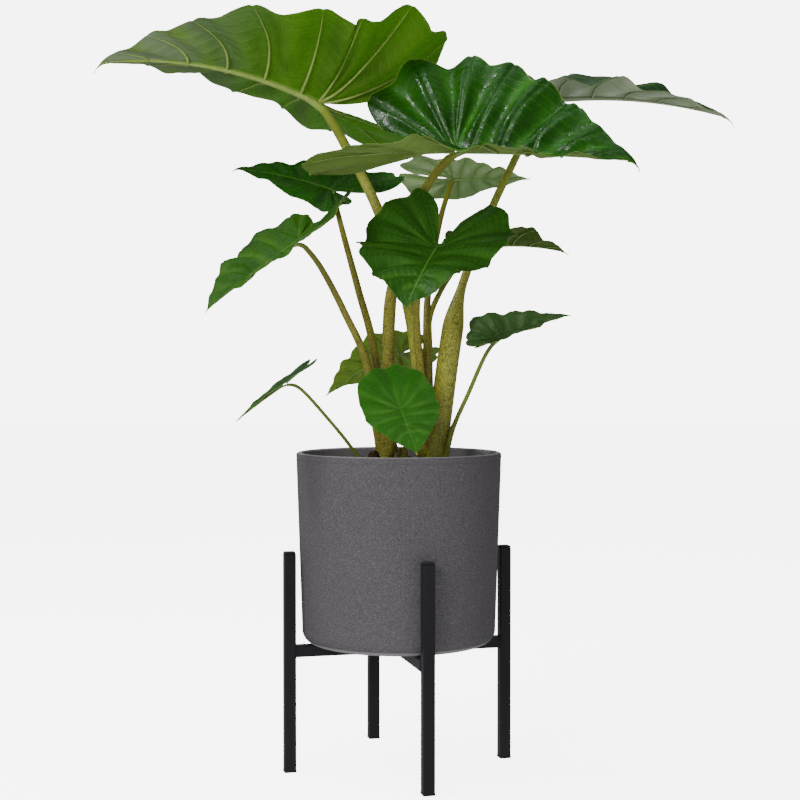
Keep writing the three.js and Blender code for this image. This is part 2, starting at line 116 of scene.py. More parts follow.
class Finish:
    def __init__(self, name, constants):
        self.material = bpy.data.materials.new(name)
        self.material.use_nodes = True
        self.tree = self.material.node_tree
        self.tree.nodes.clear()
        self.surface = self.node("BsdfPrincipled", {}, constants)

    def node(self, kind, settings, sockets, output=0):
        node = self.tree.nodes.new("ShaderNode" + kind)
        for key, value in settings.items():
            setattr(node, key, value)
        for key, value in sockets.items():
            if isinstance(value, Wire):
                self.tree.links.new(value.socket, node.inputs[key])
            else:
                node.inputs[key].default_value = value
        return Wire(self, node.outputs[output])

    def attribute(self, name):
        return self.node("Attribute", {"attribute_name": name}, {}, "Fac")

    def place(self, stretch=(1, 1, 1)):
        where = self.node("TexCoord", {}, {}, "Object")
        return self.node("VectorMath", {"operation": "MULTIPLY"}, {0: where, 1: stretch})

    def noise(self, scale, detail, roughness=0.55, stretch=(1, 1, 1), where=None):
        sockets = {"Vector": where or self.place(stretch), "Scale": scale, "Detail": detail}
        return self.node("TexNoise", {}, {**sockets, "Roughness": roughness})

    def cells(self, scale, stretch=(1, 1, 1), feature="F1"):
        sockets = {"Vector": self.place(stretch), "Scale": scale}
        return self.node("TexVoronoi", {"feature": feature}, sockets, "Distance")

    def mix(self, colour, *coats):
        # lays coats, each a colour and its share, over a colour; a tuple is a screen colour
        for tint, share in coats:
            under, over = (paint(*c) if isinstance(c, tuple) else c for c in (colour, tint))
            colour = self.node("Mix", {"data_type": "RGBA"}, {0: share, 6: under, 7: over}, 2)
        return colour

    def link(self, **values):
        shader = self.surface.socket.node
        for key, value in values.items():
            self.tree.links.new(value.socket, shader.inputs[key.replace("_", " ")])

    def bump(self, height, distance, strength):
        sockets = {"Height": height, "Distance": distance, "Strength": strength}
        self.link(Normal=self.node("Bump", {}, sockets))

    def close(self, lightThrough=None, share=0.0):
        top = self.surface
        if lightThrough:
            glow = self.node("BsdfTranslucent", {}, {"Color": lightThrough})
            top = self.node("MixShader", {}, {0: share, 1: self.surface, 2: glow})
        end = self.tree.nodes.new("ShaderNodeOutputMaterial")
        self.tree.links.new(top.socket, end.inputs["Surface"])
        return self.material


# mesh helpers
def addObject(name, data):
    thing = bpy.data.objects.new(name, data)
    bpy.context.scene.collection.objects.link(thing)
    return thing


def makePiece(name, vertices, faces, finishes, replaced, spots=None, kinds=None, sharp=None):
    mesh = bpy.data.meshes.new(name)
    mesh.from_pydata(inMetres(vertices).tolist(), [], faces)
    for finish in finishes:
        mesh.materials.append(finish)
    if kinds is not None:
        mesh.polygons.foreach_set("material_index", np.asarray(kinds, np.int32))
    for label, values in (spots or {}).items():
        layer = mesh.attributes.new(label, "FLOAT", "POINT")
        layer.data.foreach_set("value", np.array(np.broadcast_to(values, len(vertices)), np.float32))
    mesh.polygons.foreach_set("use_smooth", np.ones(len(mesh.polygons), bool))
    if sharp:
        mesh.set_sharp_from_angle(angle=math.radians(sharp))
    mesh.validate()
    piece = addObject(name, mesh)
    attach(piece, "root")
    if replaced:
        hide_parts(*replaced)
    return piece


def unit(vectors):
    lengths = np.linalg.norm(vectors, axis=-1, keepdims=True)
    return vectors / np.maximum(lengths, 1e-9)


def smoothStep(low, high, value):
    t = np.clip((value - low) / (high - low), 0, 1)
    return t * t * (3 - 2 * t)


def ringFaces(rings, sides):
    # rings joined in strips along their length, and closed to a middle point at both ends
    faces = []
    last = (rings - 1) * sides
    for j in range(sides):
        k = (j + 1) % sides
        for i in range(0, last, sides):
            faces.append((i + j, i + k, i + sides + k, i + sides + j))
        faces.append((last + sides, k, j))
        faces.append((last + sides + 1, last + j, last + k))
    return faces


def tubeMesh(points, radii, sides, ridge=None):
    # closed tube along points, with frames carried on from ring to ring
    points = np.asarray(points, float)
    along = unit(np.gradient(points, axis=0))
    side = unit(np.cross(along[0], [0.3, 0.95, 0.1]))
    vertices = []
    for i, point in enumerate(points):
        side = unit(side - along[i] * np.dot(side, along[i]))
        other = np.cross(along[i], side)
        angle = 2 * math.pi * np.arange(sides) / sides
        reach = radii[i] * (1 + (ridge(angle, i) if ridge else 0)) * np.ones(sides)
        spokes = np.outer(np.cos(angle), side) + np.outer(np.sin(angle), other)
        vertices.append(point + reach[:, None] * spokes)
    vertices = np.concatenate(vertices + [points[:1], points[-1:]])
    return vertices, ringFaces(len(points), sides)


class Gathered:
    # several meshes put together as one
    def __init__(self):
        self.vertices, self.faces, self.kinds, self.spots = [], [], [], {}
        self.count = 0

    def add(self, vertices, faces, kind=0, spots=None):
        self.vertices.append(np.asarray(vertices, float))
        self.faces += [tuple(self.count + corner for corner in face) for face in faces]
        self.kinds += [kind] * len(faces)
        for label, values in (spots or {}).items():
            self.spots.setdefault(label, []).append(np.broadcast_to(values, len(vertices)))
        self.count += len(vertices)

    def piece(self, name, finishes, slot, replaced, sharp=None):
        spots = {label: np.concatenate(parts) for label, parts in self.spots.items()}
        vertices = np.concatenate(self.vertices)
        return makePiece(name, vertices, self.faces, finishes, replaced, spots, self.kinds, sharp)


# camera
camera = {
    "from": (-504.2, -1993.7, 548.0), "turn": -14.24, "down": 1.2, "lens": 67.1, "sensor": 36, "sees": 50,
}
lens = bpy.data.cameras.new("camera")
lens.lens = camera["lens"]
lens.sensor_width = camera["sensor"]
lens.clip_end = camera["sees"]
view = addObject("camera", lens)
view.location = Vector(inMetres(camera["from"]))
view.rotation_euler = (math.radians(90 - camera["down"]), 0, math.radians(camera["turn"]))
bpy.context.scene.camera = view


# light and floor
studio = {
    "room": 0.42, "backdrop": 6.5, "floorGlow": 5.5, "reach": 13,
    "lamps": {
        "overhead": {"from": (-400, 300, 2500), "to": (0, 0, 700), "wide": 1.2, "power": 42},
        "left": {"from": (-1530, 60, 2640), "to": (0, 0, 800), "wide": 0.4, "power": 38, "inGloss": True},
        "front": {"from": (-1700, -1700, 1500), "to": (0, 0, 600), "wide": 0.9, "power": 46},
        "bounce": {"from": (-200, -900, 50), "to": (0, 0, 800), "wide": 2.2, "power": 22},
    },
}
world = bpy.data.worlds.new("room")
world.use_nodes = True
world.node_tree.nodes["Background"].inputs["Color"].default_value = (1, 1, 1, 1)
world.node_tree.nodes["Background"].inputs["Strength"].default_value = studio["room"]
bpy.context.scene.world = world
for lampName, lamp in studio["lamps"].items():
    light = bpy.data.lights.new(lampName, "AREA")
    light.shape = "SQUARE"
    light.size = lamp["wide"]
    light.energy = lamp["power"]
    holder = addObject(lampName, light)
    start, end = inMetres(lamp["from"]), inMetres(lamp["to"])
    holder.location = Vector(start)
    holder.rotation_euler = Vector(end - start).to_track_quat("-Z", "Y").to_euler()
    holder.visible_glossy = lamp.get("inGloss", False)


def floorFinish():
    glow = {"Emission Color": (1, 1, 1, 1), "Emission Strength": studio["floorGlow"]}
    finish = Finish("pale floor", {"Base Color": paint(250, 250, 250), **glow})
    finish.link(Roughness=finish.noise(3, 2) * 0.1 + 0.7)
    return finish.close()


def backdropFinish():
    glow = {"Emission Color": (1, 1, 1, 1), "Emission Strength": studio["backdrop"]}
    return Finish("pale backdrop", {"Base Color": (0, 0, 0, 1), **glow}).close()


reach = studio["reach"]
floorMesh = bpy.data.meshes.new("floor")
floorCorners = [(-1, -1), (1, -1), (1, 1), (-1, 1)]
floorMesh.from_pydata([(x * reach, y * reach, 0) for x, y in floorCorners], [], [(0, 1, 2, 3)])
floorMesh.materials.append(floorFinish())
floor = addObject("floor", floorMesh)
bpy.ops.mesh.primitive_uv_sphere_add(segments=48, ring_count=24, radius=reach)
backdrop = bpy.context.object
backdrop.name = "backdrop"
backdrop.data.materials.append(backdropFinish())
# only the camera sees them, so they neither light the plant nor show in its gloss
for ray in ("visible_diffuse", "visible_glossy", "visible_transmission", "visible_shadow"):
    setattr(backdrop, ray, False)
    setattr(floor, ray, ray == "visible_shadow")
report("camera, light and floor")


# stand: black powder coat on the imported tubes, matte plugs, and weld beads
def coatFinish():
    finish = Finish("black powder coat", {"IOR": 1.5, "Specular IOR Level": 0.3})
    grain = finish.noise(1900, 2)
    patch = finish.noise(14, 2)
    finish.link(Base_Color=finish.mix((18, 18, 21), ((27, 27, 31), patch)))
    finish.link(Roughness=0.36 + 0.12 * grain)
    finish.bump(grain, 0.0002, 0.5)
    return finish.close()


def plugFinish():
    finish = Finish("matte black plastic", {})
    grain = finish.noise(2600, 2)
    scuff = finish.noise(160, 4, 0.7).between(0.55, 0.8)
    finish.link(Base_Color=finish.mix((20, 20, 21), ((48, 48, 50), scuff * 0.5)))
    finish.link(Roughness=0.55 + 0.15 * grain)
    finish.bump(grain, 0.0001, 0.4)
    return finish.close()


coat, plugPlastic = coatFinish(), plugFinish()
for node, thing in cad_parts.items():
    isTube = node.startswith(("leg_", "crossbar_"))
    if not isTube and not node.startswith(("foot_", "cap_")):
        continue
    thing.data.materials.clear()
    thing.data.materials.append(coat if isTube else plugPlastic)
    edges = thing.modifiers.new("softer edges", "BEVEL")
    edges.width = 0.0005
    edges.segments = 3
    edges.limit_method = "ANGLE"
    edges.angle_limit = math.radians(25)

standSize = {"tube": 16, "corner": 1.6, "legRadius": 153, "barBottom": 156.5, "barTop": 172.5}
weld = {
    "radius": 1.5, "lump": 0.16, "pitch": 2.3, "stepsPerLump": 6, "sides": 10, "runOut": 1.5,
    "endShare": 0.35, "aside": 1.2,
}


def weldBead(start, end):
    start, end = np.array(start, float), np.array(end, float)
    length = np.linalg.norm(end - start)
    steps = int(length / weld["pitch"] * weld["stepsPerLump"])
    share = np.linspace(0, 1, steps + 1)
    points = start + np.outer(share, end - start)
    lumps = np.abs(np.sin(math.pi * share * length / weld["pitch"]))
    radii = weld["radius"] * (1 - weld["lump"] + weld["lump"] * lumps)
    fromEnd = np.minimum(1, np.minimum(share, 1 - share) * length / weld["runOut"])
    radii *= weld["endShare"] + (1 - weld["endShare"]) * fromEnd
    return tubeMesh(points, radii, weld["sides"])


welds = Gathered()
halfTube, bottom = standSize["tube"] / 2, standSize["barBottom"]
half, legFace = halfTube - standSize["corner"], standSize["legRadius"] - halfTube
low, high = bottom + standSize["corner"], standSize["barTop"] - standSize["corner"]
beside = half + weld["aside"]
for turn, (c, s) in enumerate([(1, 0), (0, 1), (-1, 0), (0, -1)]):
    # the two short bars also butt against the long one in the middle
    for out in ([legFace, halfTube] if turn in (1, 3) else [legFace]):
        beads = [[(out, across, low), (out, across, high)] for across in (-beside, beside)]
        beads.append([(out, -half, bottom), (out, half, bottom)])
        for bead in beads:
            welds.add(*weldBead(*[(x * c - y * s, x * s + y * c, z) for x, y, z in bead]))
welds.piece("weld_beads", [coat], "stand_coat", [])
report("stand")


# pot: turned wall with a rounded rim, speckled grey
pot = {
    "bottom": 172.5, "height": 261, "rim": 141.3, "foot": 133.2, "footCorner": 17,
    "inner": 12, "edge": 3.6, "wall": 8, "sides": 160, "stretch": 24, "rimShadeBelow": 9, "rimHighlightHigh": 1.6,
}


def arc(x, y, radius, start, end, steps):
    angle = np.radians(np.linspace(start, end, steps + 1))
    return np.stack([x + radius * np.cos(angle), y + radius * np.sin(angle)], 1)


def potFinish():
    finish = Finish("speckled grey pot", {"IOR": 1.45, "Specular IOR Level": 0.25})
    cloud = finish.noise(9, 3)
    fine = finish.noise(760, 2, 0.65)
    speck = finish.cells(560).between(0.38, 0.24)
    height, inside = finish.attribute("height"), finish.attribute("inside")
    rare = finish.cells(170).between(0.13, 0.07)
    pick = finish.noise(700, 1).between(0.45, 0.6)
    # a band along the top of the rim is painted paler, a painted highlight on its rounded edge, and a
    # faint line of painted shade runs round below it, where the rim's rounding ends
    rimHighlight = height.between(pot["height"] - pot["rimHighlightHigh"], pot["height"]) * (0.25 + 0.5 * fine)
    rimShadeLine = (0.9 - abs(height - (pot["height"] - pot["rimShadeBelow"]))).between(0.0, 0.6)
    finish.link(Base_Color=finish.mix(
        (74, 71, 74), ((82, 79, 82), cloud), ((50, 48, 51), fine.between(0.46, 0.66) * 0.85),
        ((118, 115, 118), speck * pick * 0.6), ((138, 134, 137), rare * 0.35),
        # the inner wall is painted paler, painted light standing in for the light that falls in from above
        ((146, 142, 146), inside * 0.55), ((178, 174, 176), rimHighlight),
        ((50, 48, 50), rimShadeLine * 0.3 * (1 - inside)),
    ))
    finish.link(Roughness=0.62 + 0.2 * fine - 0.1 * speck)
    finish.bump(fine + speck * 0.4 + finish.noise(60, 3) * 0.2, 0.0003, 0.5)
    return finish.close()


def lathe(profile, sides):
    # profile runs from the axis round to the axis again, as radius and height
    profile = np.asarray(profile, float)
    angle = 2 * math.pi * np.arange(sides) / sides
    rings = []
    for radius, height in profile[1:-1]:
        spread = np.stack([np.cos(angle), np.sin(angle)], 1) * radius
        rings.append(np.column_stack([spread, np.full(sides, height)]))
    ends = np.array([[0, 0, profile[0][1]], [0, 0, profile[-1][1]]])
    vertices = np.concatenate(rings + [ends])
    return vertices, ringFaces(len(rings), sides)


def filled(profile, longest):
    # adds points so that no stretch of the profile is longer than this
    points = [profile[0]]
    for start, end in zip(profile[:-1], profile[1:]):
        steps = max(1, math.ceil(np.linalg.norm(np.subtract(end, start)) / longest))
        points += [np.add(start, np.subtract(end, start) * (i + 1) / steps) for i in range(steps)]
    return np.array(points)


innerRim, innerFoot = pot["rim"] - pot["wall"], pot["foot"] - pot["wall"]
potProfile = np.concatenate([
    [(0, 0)],
    arc(pot["foot"] - pot["footCorner"], pot["footCorner"], pot["footCorner"], -90, 0, 12),
    arc(pot["rim"] - pot["edge"], pot["height"] - pot["edge"], pot["edge"], 0, 90, 7),
    arc(innerRim + pot["edge"], pot["height"] - pot["edge"], pot["edge"], 90, 180, 7),
    arc(innerFoot - pot["inner"], pot["wall"] + pot["inner"], pot["inner"], 0, -90, 8),
    [(0, pot["wall"])],
]) + [0, pot["bottom"]]
potVertices, potFaces = lathe(filled(potProfile, pot["stretch"]), pot["sides"])
potHeights = potVertices[:, 2] - pot["bottom"]
potRadii = np.hypot(potVertices[:, 0], potVertices[:, 1])
wallMiddle = pot["foot"] + (pot["rim"] - pot["foot"]) * potHeights / pot["height"] - pot["wall"] / 2
potSpots = {"height": potHeights, "inside": potRadii < wallMiddle}
potPaint = [potFinish()]
makePiece("pot_body", potVertices, potFaces, potPaint, ["pot"], potSpots, sharp=50)
report("pot")


# leaves: the solids' driving values on a finer grid, with hooked tips and a few values of their own
shared = {
    "thick": 0.55, "basalVeins": 3, "frontVeins": 6, "basalShare": 0.36,
    "lobeSpread": 35, "lobeRounding": 0.8, "crowding": 1.6, "bow": 0.2,
    "bodyShare": 0.97, "fullness": 1.15, "dripWide": 0.6, "dripFlare": 12,
    "scallop": 0.04, "fullScallop": 130, "cusp": 0.5, "ragged": 0.28, "waveRise": 1.6,
    "lobeSoft": 0.04, "hookFrom": 0.9, "golden": 0.618, "bendSteps": 160, "crowdOut": 1.15,
    "lobeShare": 0.61, "waveShare": 0.018, "ribShare": 0.012,
}
# for leaves longer than the first number: rows for each vein, and columns out to the margin
fineness = [(250, 16, 40), (100, 12, 28), (0, 8, 18)]
leaves = {
    "top_left": {
        "joint": (-85, 135, 935), "heading": 175, "pitch": 25, "length": 335, "width": 155,
        "fold": (40, 0), "curl": (5, 5), "droop": 35, "back": (50, 20), "lobe": (230, 205),
        "hook": 55,
        "foot": (35, -15), "via": [(15, -10, 615), (-15, 35, 755), (-55, 100, 870)],
        "stalk": (9, 6.2),
    },
    "glossy": {
        "joint": (50, -105, 835), "heading": -45, "pitch": -5, "roll": 30, "length": 265,
        "width": 155, "lobe": (190, 195), "fold": (30, 25), "curl": (5, -5), "droop": 5,
        "back": (5, -25), "hook": 75, "stout": 0.42,
        "foot": (-15, 0), "via": [(-15, -5, 615), (-5, -20, 695), (20, -55, 785)],
        "stalk": (7, 5.6), "sheath": (0.45, 2),
    },
    "top_right": {
        "joint": (225, 40, 935), "heading": -20, "pitch": 5, "length": 280, "width": 110,
        "lobe": (145, 130), "fold": (35, 10), "droop": 25, "back": (0, -10), "hook": 45,
        "foot": (50, -10),
        "via": [(70, -10, 575), (90, 0, 660), (135, 15, 765), (180, 30, 850)],
        "stalk": (7, 5), "sheath": (0.42, 8.5),
    },
    "middle": {
        "joint": (20, -120, 705), "heading": -130, "pitch": -35, "roll": -5, "length": 125,
        "width": 105, "lobe": (100, 105), "back": (5, 40), "wave": 7, "taper": 1.8,
        "foot": (40, -20), "via": [(20, -30, 575), (10, -60, 640), (10, -100, 680)],
        "stalk": (6, 3.8),
    },
    "pale": {
        "joint": (105, 95, 825), "heading": -10, "pitch": 0, "roll": -20, "length": 115,
        "width": 65, "lobe": (90, 90), "fold": (5, 5), "droop": 0, "back": (25, 0),
        "foot": (45, -5), "via": [(40, 0, 575), (55, 45, 665), (80, 75, 760)],
        "stalk": (6, 3.6), "stout": 0.4,
    },
    "back_left": {
        "joint": (-70, 115, 805), "heading": 160, "pitch": 20, "roll": -20, "length": 155,
        "width": 65, "lobe": (40, 110), "fold": (-5, 25), "back": (0, 20), "hook": 60,
        "foot": (-20, 10), "via": [(-30, 20, 570), (-45, 55, 660), (-60, 85, 740)],
        "stalk": (6.5, 3.6),
    },
    "low_left": {
        "joint": (-145, -30, 720), "heading": 180, "pitch": -35, "roll": -15, "length": 160,
        "width": 100, "lobe": (105, 45), "fold": (15, 25), "curl": (0, 40), "droop": 5,
        "back": (20, -20), "taper": 2.2, "hook": 25,
        "foot": (-25, 0), "via": [(-45, -5, 550), (-80, -15, 625), (-115, -25, 685)],
        "stalk": (6.5, 3.3),
    },
    "back_right": {
        "joint": (135, 100, 725), "heading": -5, "pitch": 10, "length": 150, "width": 85,
        "lobe": (60, 60), "fold": (25, 25), "curl": (25, 10), "droop": 25, "wave": 6,
        "hook": 30, "foot": (45, -5),
        "via": [(45, 5, 575), (50, 20, 620), (75, 50, 660), (105, 75, 695)],
        "stalk": (5, 3),
    },
    "low_right": {
        "joint": (125, -55, 590), "heading": -5, "pitch": 20, "roll": 20, "length": 110,
        "width": 60, "lobe": (45, 45), "fold": (20, 20), "curl": (10, 0), "droop": 5,
        "back": (-20, 0), "hook": 30,
        "foot": (60, -25), "via": [(70, -25, 465), (90, -35, 515), (110, -45, 565)],
        "stalk": (3.2, 2.2), "sheath": (0.35, 1),
    },
    "small_left": {
        "joint": (-165, -45, 530), "heading": 180, "pitch": -35, "length": 85, "width": 30,
        "lobe": (55, 55), "droop": 5, "root": 36,
        "wave": 0.8, "rib": 0.3,
        "foot": (-60, -20), "via": [(-75, -25, 445), (-110, -35, 485), (-145, -50, 520)],
        "stalk": (2, 1.8), "sheath": (0.25, 1.5),
    },
    "small_front": {
        "joint": (-25, -110, 495), "heading": -60, "pitch": -60, "roll": 20, "length": 65,
        "width": 55, "lobe": (65, 65), "fold": (10, 10), "droop": 10, "taper": 1.8,
        "inner": 0.95, "notch": 180.5,
        "foot": (-25, 0), "via": [(-40, -10, 490), (-45, -50, 515)], "stalk": (4.5, 2.2),
    },
    "behind_stalks": {
        "joint": (30, 115, 570), "heading": 150, "pitch": -15, "roll": 15, "length": 130,
        "width": 80, "lobe": (60, 60), "fold": (15, 5), "curl": (15, 30), "droop": 30,
        "foot": (15, 20), "via": [(25, 60, 505)], "stalk": (3.4, 2.4),
    },
    "tiny": {
        "joint": (-10, 45, 475), "heading": 190, "pitch": -65, "length": 40, "width": 15,
        "lobe": (15, 15), "foot": (5, 25), "via": [(0, 35, 455)], "stalk": (2.4, 1.6),
    },
}
usual = {
    "roll": 0, "droop": 15, "fold": (15, 15), "curl": (15, 15), "back": (0, 0),
    "sheath": (0, 0), "hook": 0, "taper": 1.45, "inner": 0.66, "notch": 168, "stout": 0.72,
}
for number, (leafName, given) in enumerate(leaves.items()):
    size = given["length"]
    leaves[leafName] = {
        **usual, "lobe": (shared["lobeShare"] * size, shared["lobeShare"] * size),
        "wave": shared["waveShare"] * size, "waves": 3 + math.floor(size / 100 + 0.5),
        "rib": shared["ribShare"] * size, "number": number,
        "phase": [(2 * number + k) * shared["golden"] % 1 for k in (0, 1)], **given,
    }


def bentLine(length, angles, way):
    share = np.linspace(0, 1, shared["bendSteps"] + 1)
    turned = np.radians(angles(share))
    step = np.stack([way * np.cos(turned), np.sin(turned)], 1)
    run = np.cumsum((step[1:] + step[:-1]) / 2, axis=0) * length / shared["bendSteps"]
    run = np.concatenate([[[0, 0]], run])
    return lambda distance: [np.interp(distance, share * length, run[:, n]) for n in (0, 1)]


def midribAngle(leaf, share):
    return -leaf["droop"] * share - leaf["hook"] * smoothStep(shared["hookFrom"], 1.0, share)


def flatMargin(leaf, k, u):
    basal = shared["basalShare"]
    lobe, width, length = leaf["lobe"][k], leaf["width"], leaf["length"]
    forward = np.clip((u - basal) / (1 - basal), 0, 1)
    behind = np.minimum(u, basal) / basal
    vein = shared["basalVeins"] * behind + shared["frontVeins"] * forward
    # rounded lobes at the veins, sharper notches between them
    soft, sharp = np.cos(2 * math.pi * (vein - 0.5)), 2 * np.abs(np.sin(math.pi * vein)) - 1
    depth = shared["scallop"] * min(1.0, length / shared["fullScallop"])
    ragged = np.sin(5.3 * vein + leaf["number"]) + 0.6 * np.sin(13.1 * vein + 2 * leaf["number"])
    bulge = 1 + depth * (soft + (sharp - soft) * shared["cusp"] + shared["ragged"] * ragged)
    axis = 180 - shared["lobeSpread"]
    angle = leaf["notch"] + (90 - leaf["notch"]) * behind
    innerShare = np.clip((leaf["notch"] - angle) / (leaf["notch"] - axis), 0, 1)
    inner = np.sin(innerShare * math.pi / 2) ** shared["lobeRounding"]
    outer = 0.5 + 0.5 * np.cos(np.clip((axis - angle) / (axis - 90), 0, 1) * math.pi)
    reach = np.where(
        angle > axis,
        lobe * (leaf["inner"] + (1 - leaf["inner"]) * inner),
        width + (lobe - width) * outer,
    )
    turned = np.radians(angle)
    along = length * (1 - (1 - forward) ** shared["crowding"])
    body = 1 - np.minimum(1, along / (shared["bodyShare"] * length)) ** leaf["taper"]
    tail = shared["dripWide"] + shared["dripFlare"] * (1 - along / length)
    side = np.maximum(width * body ** shared["fullness"] * bulge, np.minimum(tail, width))
    isBasal = u < basal
    return {
        "start": length * forward,
        "along": np.where(isBasal, reach * np.cos(turned) * bulge, along),
        "across": np.where(isBasal, reach * np.sin(turned) * bulge, side),
        "vein": vein,
        "forward": forward,
    }


def bladePoints(leaf, k, u, w):
    side = 1 if k == 0 else -1
    margin = flatMargin(leaf, k, u)
    length, width, lobe = leaf["length"], leaf["width"], leaf["lobe"][k]
    bow = shared["bow"] * length * w * (1 - w) * np.sin(math.pi * margin["forward"])
    x = margin["start"] + (margin["along"] - margin["start"]) * w - bow
    share, behind = np.clip(x / length, 0, 1), np.clip(-x / lobe, 0, 1)
    lift = lambda s: leaf["back"][k] * np.sqrt(s) * (1 - np.exp(-s / shared["lobeSoft"]))
    midrib = bentLine(length, lambda s: midribAngle(leaf, s), 1)
    lobeLine = bentLine(lobe, lift, -1)
    ahead = x >= 0
    front, rear = midrib(x), lobeLine(-x)
    placeX, placeZ = np.where(ahead, front[0], rear[0]), np.where(ahead, front[1], rear[1])
    turned = np.radians(np.where(ahead, midribAngle(leaf, share), -lift(behind)))
    upX, upZ = -np.sin(turned), np.cos(turned)
    fold, curl = math.radians(leaf["fold"][k]), math.radians(leaf["curl"][k]) or 1e-4
    slope = fold - curl * margin["across"] * w / width
    across = width * (math.sin(fold) - np.sin(slope)) / curl
    rise = width * (np.cos(slope) - math.cos(fold)) / curl
    flat = np.minimum(1, margin["across"] / (0.5 * width))
    wave = w ** shared["waveRise"] * leaf["wave"]
    wave = wave * np.sin(2 * math.pi * (leaf["waves"] * u + leaf["phase"][k]))
    swell = 0.5 * np.sin(math.pi * w) + w * w
    pleat = leaf["rib"] * swell * np.cos(2 * math.pi * (margin["vein"] - 0.5))
    relief = flat * (wave + pleat)
    points = np.stack([
        placeX + upX * (rise + np.cos(slope) * relief),
        side * (across - np.sin(slope) * relief),
        placeZ + upZ * (rise + np.cos(slope) * relief),
    ], -1)
    return points, {"vein": margin["vein"], "along": share, "flat": flat}


def bladeTurn(leaf):
    heading, pitch, roll = (math.radians(leaf[key]) for key in ("heading", "pitch", "roll"))
    level = np.array([math.cos(heading), math.sin(heading), 0])
    forward = level * math.cos(pitch) + np.array([0, 0, math.sin(pitch)])
    left = np.array([-level[1], level[0], 0])
    left = left * math.cos(roll) + np.cross(forward, left) * math.sin(roll)
    return np.array([forward, left, np.cross(forward, left)])


def placed(leaf, points):
    return points @ bladeTurn(leaf) + np.array(leaf["joint"])


def leafFinish(name, look, upper):
    finish = Finish(name, {"IOR": 1.45, "Specular IOR Level": look["shine"] if upper else 0.35})
    labels = ("vein", "spacing", "across", "reach", "along")
    vein, spacing, across, reach, along = (finish.attribute(label) for label in labels)
    leafward = look["size"]
    offVein = abs(vein.fraction() - 0.5)
    veinHalf = (1.12 - across) * ((0.0022 if upper else 0.0042) * leafward) + 0.16
    onVein = ((veinHalf - offVein * spacing) / (veinHalf * 0.6)).clamped()
    midribHalf = (1.1 - along) * (0.009 * leafward) + 0.3
    onMidrib = ((midribHalf - across * reach) / (midribHalf * 0.4)).clamped()
    onMidrib = onMidrib * (vein - 2.95).between(0.0, 0.05)
    small = (across * reach / (0.035 * leafward + 4) + offVein * 1.5).fraction()
    onSmall = (0.09 - abs(small - 0.5)).between(0.0, 0.06)
    onSmall = onSmall * spacing.between(0.02 * leafward, 0.06 * leafward)
    cloud = finish.noise(12, 3)
    fine = finish.noise(150, 3)
    spread = finish.node("CombineXYZ", {}, {"X": vein * 0.9, "Y": across * 1.1, "Z": look["seed"]})
    tone = finish.noise(1.6, 2, 0.5, where=spread).between(0.36, 0.64)
    mesh = finish.cells(240, feature="DISTANCE_TO_EDGE").between(0.12, 0.02)
    face = "upper" if upper else "under"
    ground, deep, light, pale = (look[face + part] for part in ("", "Deep", "Light", "Vein"))
    coats = [
        # the light coat makes the middle of each panel between veins paler in patches: partly a random
        # tone, partly painted sheen and shading on the bulging panels
        (deep, cloud.between(0.35, 0.7)), (light, offVein.between(0.08, 0.45) * tone * 0.75),
        (pale, onSmall * (0.16 if upper else 0.14)), (pale, mesh * 0.08),
        (pale, onVein * (look["veins"] if upper else 0.9)), (pale, onMidrib * 0.9),
        (look["edge"], across.between(0.985, 1.0) * 0.8),
    ]
    # a leaf that lists a tip gets a grey painted sheen over its underside towards the tip
    if "tip" in look and not upper:
        coats.insert(1, (look["tip"], along.between(0.25, 0.85)))
    if "tipSpot" in look:
        coats.insert(-1, (look["tipSpot"], along.between(0.93, 0.99)))
    finish.link(Base_Color=finish.mix(ground, *coats))
    rough = look["rough"] if upper else 0.5
    dull = finish.noise(58, 2).between(0.44, 0.6) * look["patchy"]
    finish.link(Roughness=fine * 0.14 + (rough - 0.05) + onVein * 0.1 + dull)
    pucker = finish.noise(52, 2) * look["pucker"]
    lumps = fine * 0.6 + cloud + pucker - mesh * 0.08
    height = lumps - onSmall * 0.3 if upper else lumps + onSmall * 0.5
    finish.bump(height, 0.0009 + 0.0003 * look["lively"], 0.5)
    share = look["clear"] if upper else look["clear"] + 0.1
    if "tip" in look:
        share = share * (1 - along.between(0.2, 0.7) * 0.8)
    return finish.close(paint(*look["through"]), share)


def ribFinish(name, look):
    finish = Finish(name, {"IOR": 1.45})
    streak = finish.noise(90, 3)
    colour = finish.mix(look["underVein"], (look["underDeep"], streak.between(0.4, 0.9) * 0.5))
    finish.link(Base_Color=colour)
    finish.link(Roughness=0.4 + 0.15 * streak)
    finish.bump(streak, 0.0004, 0.4)
    return finish.close(paint(*look["through"]), 0.15)


